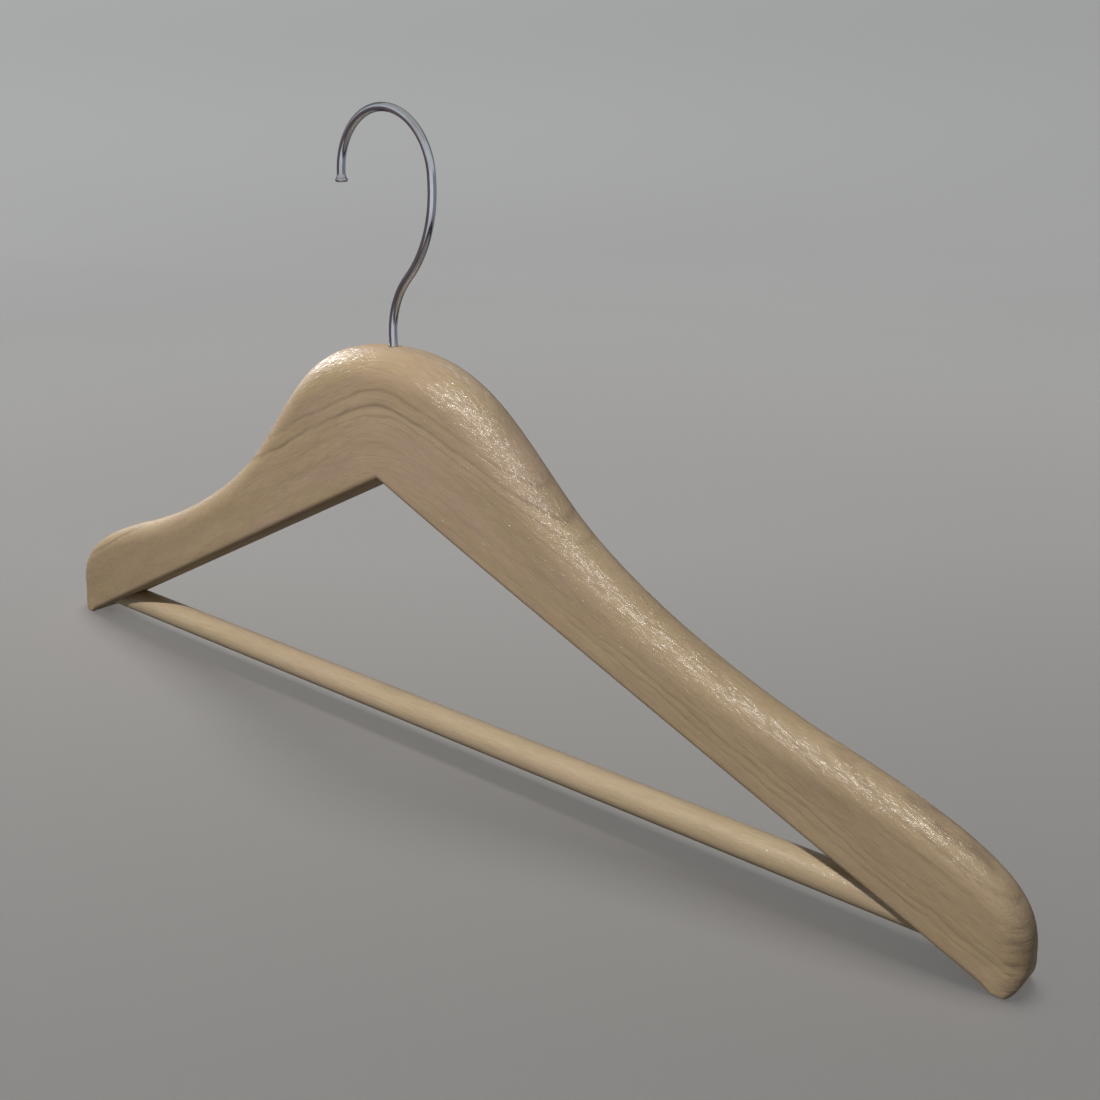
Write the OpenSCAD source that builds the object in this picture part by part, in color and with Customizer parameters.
// Contoured wooden clothes hanger: one-piece body, round trouser bar and a
// chromed wire hook that turns in a bush hidden in the neck.
// Frame: millimetres, +Z up, +X towards the right arm, the arms sweep back
// towards +Y. The origin is the rail seat: the highest point of the inside of
// the hook's bow, on the swivel axis. Heights named below are measured up from
// the feet; place() shifts the whole model so that the rail seat is the origin.

/* [Body outline] */
// Width over both arm tips
overall_w = 445; // [435:1:455]
// Height of the neck crown above the feet
crown_h = 147; // [144:0.5:150]
// How far the crown runs level before it falls away
crown_pull = 34; // [30:0.5:37]
// Distance of the steepest point of the neck side from the centre
neck_x = 68; // [66:0.5:70]
// Height of the steepest point of the neck side
neck_z = 107; // [105:0.5:109]
// Fall of the neck side at its steepest point, degrees
neck_slope = 46.3; // [44:0.1:48]
// Pull of the neck curve on either side of its steepest point
neck_pull = 33.5; // [30:0.5:36]
// Distance of the mid-arm point from the centre
arm_x = 163; // [160:1:167]
// Height of the mid-arm point
arm_z = 53.5; // [52:0.5:55]
// Fall of the arm's top at the mid-arm point, degrees
arm_slope = 18; // [16:0.5:20]
// Pull of the arm curve towards the neck
arm_pull_in = 31.5; // [28:0.5:34]
// Pull of the arm curve towards the tip
arm_pull_out = 52.5; // [48:0.5:55]
// Height of the widest point of the rounded tip
nose_z = 10; // [9:0.5:12]
// Pull of the rounded tip above its widest point
nose_pull = 17; // [14:0.5:19]
// Outer end of the flat foot, from the centre
foot_out = 218.6; // [217.6:0.1:219.6]
// Inner end of the flat foot, from the centre
foot_in = 215; // [213:0.5:216]
// Height of the apex under the neck
apex_h = 104; // [102:0.5:106]

/* [Body thickness and contour] */
// Thickness at the neck
neck_t = 22; // [20:0.5:24]
// Thickness at the tips
tip_t = 15; // [14.5:0.5:18]
// How far the tips sweep back behind the neck
sweep = 9; // [8:0.5:10]
// Length over which the sweep starts, at the neck
sweep_start = 45; // [30:1:60]
// Roundness of the top edges, as a share of half the thickness
top_round = 0.92; // [0.6:0.01:0.95]
// Radius of the lower edges at the apex
low_round_neck = 2.4; // [1.5:0.1:5]
// Radius of the lower edges near the tips
low_round_tip = 2.2; // [1.5:0.1:4]
// Radius of the foot's own edges
foot_round = 1; // [0.5:0.1:1.5]

/* [Trouser bar] */
// Diameter of the bar
bar_d = 10.4; // [9.8:0.1:11]
// Height of the bar's centre line above the feet
bar_z = 10.9; // [10.4:0.1:11.6]
// Distance of the bar's centre line behind the swivel axis
bar_y = 8.5; // [8:0.1:9]
// Length of the bar
bar_len = 428; // [424:1:430]
// Chamfer on the bar's hidden ends
bar_chamfer = 1; // [0.5:0.1:1.5]
// Glue clearance of the bar in its sockets, on the radius
socket_gap = 0.02; // [0.01:0.01:0.1]

/* [Hook] */
// Diameter of the hook wire
wire_d = 2.8; // [2.6:0.1:3.4]
// Radius of the bow, to the wire's centre line
bow_r = 20.6; // [19:0.1:23]
// Straight stem showing above the crown
stem_show = 3.2; // [1:0.1:5]
// Lean of the wire between its two bends, degrees (less if the bends need it)
bend_angle = 45; // [35:0.5:50]
// Radius of the lower bend
low_bend_r = 26.5; // [22:0.5:30]
// Radius of the upper bend
high_bend_r = 39.5; // [34:0.5:40]
// Straight length between the upper bend and the bow
bow_rise = 2; // [1:0.1:6]
// Straight length from the bow down to the button
tip_len = 1; // [0.5:0.1:6]
// Diameter of the button on the free end
button_d = 4.2; // [4:0.1:5.6]
// Thickness of the button
button_t = 1.4; // [0.8:0.1:1.8]

/* [Swivel] */
// Outside diameter of the bush
bush_d = 7; // [6:0.1:8]
// Length of the bush above its flange
bush_len = 16; // [10:0.5:18]
// Running clearance of the stem in the bush, on the radius
stem_gap = 0.05; // [0.02:0.01:0.09]
// Diameter of the bush flange
flange_d = 11; // [10:0.1:11.5]
// Thickness of the bush flange
flange_t = 1.5; // [1:0.1:2]
// Diameter of the thrust washer
washer_d = 9.6; // [8.5:0.1:10]
// Thickness of the thrust washer
washer_t = 0.8; // [0.5:0.1:1]
// Diameter of the retaining cap
cap_d = 8; // [7:0.1:9]
// Height of the retaining cap
cap_h = 4.4; // [4:0.1:5]
// Diameter of the counterbore that hides the swivel parts
pocket_d = 12; // [11.8:0.1:13]
// Depth of the counterbore above the apex
pocket_h = 12.5; // [11:0.5:14]

/* [Brads] */
// Distance of each brad from the centre
brad_x = 210.5; // [209:0.5:211]
// Diameter of the brad shank
brad_d = 1.4; // [1.2:0.1:1.6]
// Length of the brad under its head
brad_len = 18; // [15:0.5:20]
// Diameter of the brad head
brad_head_d = 2.6; // [2.2:0.1:2.8]
// Thickness of the brad head
brad_head_t = 0.8; // [0.6:0.1:1]

/* [Hidden] */

WOOD = [0.66, 0.57, 0.45];
BAR_WOOD = [0.72, 0.62, 0.47];
CHROME = [0.78, 0.80, 0.84];
BRASS = [0.78, 0.64, 0.33];
STEEL = [0.62, 0.63, 0.65];

// Facets round the wire, swivel parts and brads; the bar; the sweep of a bend
round_facets = 48;
bar_facets = 64;
bend_facets = 180;

// Fits; those of round parts are on the radius
press_gap = 0.01;        // one piece driven into another
wood_gap = 0.2;          // stem in the wood
washer_gap = 0.15;       // stem in the washer
stack_gap = 0.05;        // axial play between the stacked swivel parts
bush_end_gap = 0.2;      // bore left above the bush
overcut = 1;             // cuts run this far into the next opening
outer_cut = 5;           // cuts run this far beyond the crown and the feet
pocket_cut = 20;         // the counterbore's cut runs this far below the apex

// Small details
button_chamfer = 0.3;
cap_chamfer = 0.8;
cap_floor = 1.2;         // thickness of the cap's closed bottom
brad_inset = 0.9;        // head's underside above the body's underside
brad_point = 1.9;        // length of the tapered point
brad_point_r = 0.2;      // radius at the end of the point
brad_end_gap = 0.1;      // hole left above the point

half_w = overall_w / 2;
wire_r = wire_d / 2;
stem_r = wire_r - 0.01;  // straight lengths, a hair thinner than the bends they join

// --- Hook layout, heights above the feet ---
min_lean_run = 0.4;      // least sideways run of the leaning straight
stem_top = crown_h + stem_show;
bends_r = low_bend_r + high_bend_r;
lean = min(bend_angle, acos(1 - (bow_r - min_lean_run) / bends_r));
lean_run = bow_r - bends_r * (1 - cos(lean));
lean_len = lean_run / sin(lean);
bow_z = stem_top + bends_r * sin(lean) + lean_len * cos(lean) + bow_rise;
seat_h = bow_z + bow_r - wire_r;                 // rail seat above the feet

// --- Swivel stack, heights above the feet ---
flange_top = apex_h + pocket_h;
bush_top = flange_top + bush_len;
flange_low = flange_top - flange_t;
washer_top = flange_low - stack_gap;
washer_low = washer_top - washer_t;
cap_top = washer_low - stack_gap;
cap_low = cap_top - cap_h;
stem_low = cap_low + cap_floor;

// --- Brads, heights above the feet ---
function underside_z(x) = apex_h * (1 - x / foot_in);
head_low = underside_z(brad_x) + brad_inset;
head_top = head_low + brad_head_t;

// --- Body outlines of the right half, as [x, z] ---
function mix(from, to, share) = from + (to - from) * share;
function fall(angle) = [cos(angle), -sin(angle)];
function unit(v) = v / norm(v);
function quarter_turn(v) = [-v[1], v[0]];

// Cubic Bezier curve through its four control points; first = 1 leaves out the start
function bezier(c, t) =
    pow(1 - t, 3) * c[0] + 3 * t * pow(1 - t, 2) * c[1]
    + 3 * t * t * (1 - t) * c[2] + pow(t, 3) * c[3];
function curve(controls, count, first = 1) =
    [for (i = [first:count]) bezier(controls, i / count)];

crown = [0, crown_h];
neck = [neck_x, neck_z];
arm = [arm_x, arm_z];
nose = [half_w, nose_z];
foot = [foot_out, 0];

// Steps along each stretch of the upper outline
crown_steps = 9;
arm_steps = 8;
tip_steps = 15;
foot_steps = 5;
nose_index = crown_steps + arm_steps + tip_steps;
last = nose_index + foot_steps;

// Pulls of the foot corner: down from the nose, then out and up from the foot
nose_pull_down = 0.5 * nose_z;
foot_pull = [0.6 * (half_w - foot_out), 0.13 * nose_z];

// Upper outline: crown, neck side, arm with rounded tip, foot corner
upper = concat(
    curve([crown, crown + [crown_pull, 0], neck - neck_pull * fall(neck_slope), neck],
        crown_steps, first = 0),
    curve([neck, neck + neck_pull * fall(neck_slope),
        arm - arm_pull_in * fall(arm_slope), arm], arm_steps),
    curve([arm, arm + arm_pull_out * fall(arm_slope), nose + [0, nose_pull], nose],
        tip_steps),
    curve([nose, nose - [0, nose_pull_down], foot + foot_pull, foot], foot_steps));

// Lower outline: the straight underside from apex to foot, point for point with
// the upper one. Its last foot_run is paired with the foot corner.
foot_run = 7;
function foot_share(i) = (i - nose_index) / foot_steps;
function lower_x(i) = i <= nose_index
    ? upper[i][0] / half_w * (foot_in - foot_run)
    : foot_in - foot_run + foot_run * foot_share(i);
lower = [for (i = [0:last]) let(x = lower_x(i)) [x, underside_z(x)]];

// Outward directions along both outlines
under_slope = apex_h / foot_in;
under_out = unit([-under_slope, -1]);
upper_out = [for (i = [0:last])
    i == 0 ? [0, 1]
    : i == last ? [0.7, -0.7]
    : unit(quarter_turn(upper[i + 1] - upper[i - 1]))];
// The apex is mitred, and the foot end lies between the underside and straight down
lower_out = [for (i = [0:last])
    i == 0 ? [0, -norm([under_slope, 1])]
    : i == last ? unit(under_out + [0, -1])
    : under_out];

// Thickness and sweep at a distance x from the centre
function thickness(x) = mix(neck_t, tip_t, x / half_w);
function sweep_y(x) = sweep * (norm([x, sweep_start]) - sweep_start)
    / (norm([half_w, sweep_start]) - sweep_start);

// Edge radii along both outlines, easing into the foot's own radius
foot_ease = 0.3;         // growth of the lower radius per mm inwards from the foot
upper_round = [for (i = [0:last])
    let(full = top_round * thickness(upper[i][0]) / 2)
    i <= nose_index ? full : mix(full, foot_round, foot_share(i))];
lower_round = [for (i = [0:last])
    let(x = lower[i][0])
    min(mix(low_round_neck, low_round_tip, x / half_w),
        foot_round + foot_ease * (foot_in - x))];

// --- Body surface: loops round the outline, stacked from front (-Y) to back ---
// An angle of 90 lies on the front or back face, 0 at full outline size.
// side is -1 for the front, 1 for the back; hand is 1 for right, -1 for left.
function edge_point(point, out, radius, side, angle, hand) =
    let(inset = point - out * radius * (1 - cos(angle)),
        depth = thickness(point[0]) / 2 - radius * (1 - sin(angle)))
    [hand * inset[0], sweep_y(point[0]) + side * depth, inset[1]];
function upper_point(i, side, angle, hand) =
    edge_point(upper[i], upper_out[i], upper_round[i], side, angle, hand);
function lower_point(i, side, angle, hand) =
    edge_point(lower[i], lower_out[i], lower_round[i], side, angle, hand);
function body_loop(side, angle) = concat(
    [for (i = [0:last]) upper_point(i, side, angle, 1)],
    [for (i = [last:-1:0]) lower_point(i, side, angle, 1)],
    [for (i = [1:last]) lower_point(i, side, angle, -1)],
    [for (i = [last:-1:1]) upper_point(i, side, angle, -1)]);

round_steps = 4;
loop_size = 4 * last + 2;
body_loops = concat(
    [for (i = [round_steps:-1:0]) body_loop(-1, 90 * i / round_steps)],
    [for (i = [0:round_steps]) body_loop(1, 90 * i / round_steps)]);
loop_count = len(body_loops);
body_points = [for (points = body_loops) each points];

// Places of the outline points within a loop
function upper_right(i) = i;
function lower_right(i) = 2 * last + 1 - i;
function lower_left(i) = 2 * last + 1 + i;
function upper_left(i) = i == 0 ? 0 : loop_size - i;

// Band between each loop and the next
skin = [for (l = [0:loop_count - 2], k = [0:loop_size - 1])
    let(near = l * loop_size, far = near + loop_size, next = (k + 1) % loop_size)
    each [[near + k, far + next, near + next],
          [near + k, far + k, far + next]]];
front = concat(
    [for (i = [0:last - 1]) each [
        [upper_right(i), upper_right(i + 1), lower_right(i + 1)],
        [upper_right(i), lower_right(i + 1), lower_right(i)]]],
    [for (i = [0:last - 1]) each [
        [upper_left(i), lower_left(i + 1), upper_left(i + 1)],
        [upper_left(i), lower_left(i), lower_left(i + 1)]]]);
// The front's triangles reversed, on the last loop
back = [for (face = front)
    [face[2], face[1], face[0]] + [1, 1, 1] * (loop_count - 1) * loop_size];

module place() { translate([0, 0, -seat_h]) children(); }

// Upright cylinder between two heights
module post(low, high, radius, x = 0, y = 0) {
    translate([x, y, low]) cylinder(r = radius, h = high - low, $fn = round_facets);
}

// One-piece wooden body with its sockets, swivel bore and brad holes
module hanger_body() {
    color(WOOD) place() difference() {
        polyhedron(points = body_points, faces = concat(skin, front, back), convexity = 6);
        // bar sockets, blind in both tips
        translate([-bar_len / 2, bar_y, bar_z]) rotate([0, 90, 0])
            cylinder(r = bar_d / 2 + socket_gap, h = bar_len, $fn = bar_facets);
        // stem hole from the crown
        post(bush_top - overcut, crown_h + outer_cut, wire_r + wood_gap);
        // bush bore
        post(flange_top - overcut, bush_top + bush_end_gap, bush_d / 2 + press_gap);
        // pocket under the neck
        post(apex_h - pocket_cut, flange_top, pocket_d / 2);
        // brad heads and shanks
        for (x = [-brad_x, brad_x]) {
            post(-outer_cut, head_top, brad_head_d / 2 + press_gap, x, bar_y);
            post(head_top - overcut, head_top + brad_len, brad_d / 2 + press_gap, x, bar_y);
        }
    }
}

// Round bar with chamfered ends, drilled by the two brads
module trouser_bar() {
    bar_r = bar_d / 2;
    end_r = bar_r - bar_chamfer;
    half_len = bar_len / 2;
    full_half = half_len - bar_chamfer;
    color(BAR_WOOD) place() translate([0, bar_y, bar_z]) difference() {
        rotate([0, 90, 0]) union() {
            translate([0, 0, -full_half])
                cylinder(r = bar_r, h = 2 * full_half, $fn = bar_facets);
            translate([0, 0, full_half])
                cylinder(r1 = bar_r, r2 = end_r, h = bar_chamfer, $fn = bar_facets);
            translate([0, 0, -half_len])
                cylinder(r1 = end_r, r2 = bar_r, h = bar_chamfer, $fn = bar_facets);
        }
        for (x = [-brad_x, brad_x])
            post(-bar_d, bar_d, brad_d / 2 + press_gap, x);
    }
}

// A bend of the hook wire about the local origin, in the local XZ plane: it
// begins at the angle start, measured from +X towards +Z, and turns by sweep_angle
module bend(radius, start, sweep_angle) {
    rotate([90, 0, 0]) rotate([0, 0, start])
        rotate_extrude(angle = sweep_angle, $fn = bend_facets)
            translate([radius, 0]) circle(r = wire_r, $fn = round_facets);
}

// A straight length of the hook wire, standing on the local XY plane
module straight(length) { cylinder(r = stem_r, h = length, $fn = round_facets); }

// Button on the free end, with chamfered rims, hanging below the local origin
module button() {
    button_r = button_d / 2;
    rim_r = button_r - button_chamfer;
    translate([0, 0, -button_chamfer])
        cylinder(r1 = button_r, r2 = rim_r, h = button_chamfer, $fn = round_facets);
    post(button_chamfer - button_t, -button_chamfer, button_r);
    translate([0, 0, -button_t])
        cylinder(r1 = rim_r, r2 = button_r, h = button_chamfer, $fn = round_facets);
}

// Hook, one wire: stem, lower bend, lean, upper bend, rise, bow and button.
// Each frame below is nested in the one before, so the lengths join end to end.
module hook() {
    color(CHROME) place() union() {
        translate([0, 0, stem_low]) straight(stem_top - stem_low);
        translate([low_bend_r, 0, stem_top]) {
            bend(low_bend_r, 180 - lean, lean);
            rotate([0, lean, 0]) {
                translate([-low_bend_r, 0, 0]) straight(lean_len);
                translate([-bends_r, 0, lean_len]) {
                    bend(high_bend_r, 0, lean);
                    rotate([0, -lean, 0]) {
                        translate([high_bend_r, 0, 0]) straight(bow_rise);
                        translate([high_bend_r - bow_r, 0, bow_rise]) {
                            bend(bow_r, 0, 180);
                            translate([-bow_r, 0, -tip_len]) {
                                straight(tip_len);
                                button();
                            }
                        }
                    }
                }
            }
        }
    }
}

// Flanged bush, pressed into the neck from below
module swivel_bush() {
    color(BRASS) place() difference() {
        union() {
            post(flange_top, bush_top, bush_d / 2);
            post(flange_low, flange_top, flange_d / 2);
        }
        post(flange_low - overcut, bush_top + overcut, stem_r + stem_gap);
    }
}

// Plain washer under the flange
module thrust_washer() {
    color(STEEL) place() difference() {
        post(washer_low, washer_top, washer_d / 2);
        post(washer_low - overcut, washer_top + overcut, stem_r + washer_gap);
    }
}

// Push-on cap on the end of the stem, with a chamfered closed bottom
module retaining_cap() {
    cap_r = cap_d / 2;
    color(STEEL) place() difference() {
        union() {
            post(cap_low + cap_chamfer, cap_top, cap_r);
            translate([0, 0, cap_low])
                cylinder(r1 = cap_r - cap_chamfer, r2 = cap_r, h = cap_chamfer,
                    $fn = round_facets);
        }
        post(stem_low, cap_top + overcut, stem_r + press_gap);
    }
}

// Brad with a flat head and a tapered point, driven upwards
module brad(x) {
    shank_top = head_top + brad_len - brad_point - brad_end_gap;
    color(STEEL) place() translate([x, bar_y, 0]) union() {
        post(head_low, head_top, brad_head_d / 2);
        post(head_top, shank_top, brad_d / 2);
        translate([0, 0, shank_top])
            cylinder(r1 = brad_d / 2, r2 = brad_point_r, h = brad_point, $fn = round_facets);
    }
}
module left_bar_brad() { brad(-brad_x); }
module right_bar_brad() { brad(brad_x); }

hanger_body();
trouser_bar();
hook();
swivel_bush();
thrust_washer();
retaining_cap();
left_bar_brad();
right_bar_brad();
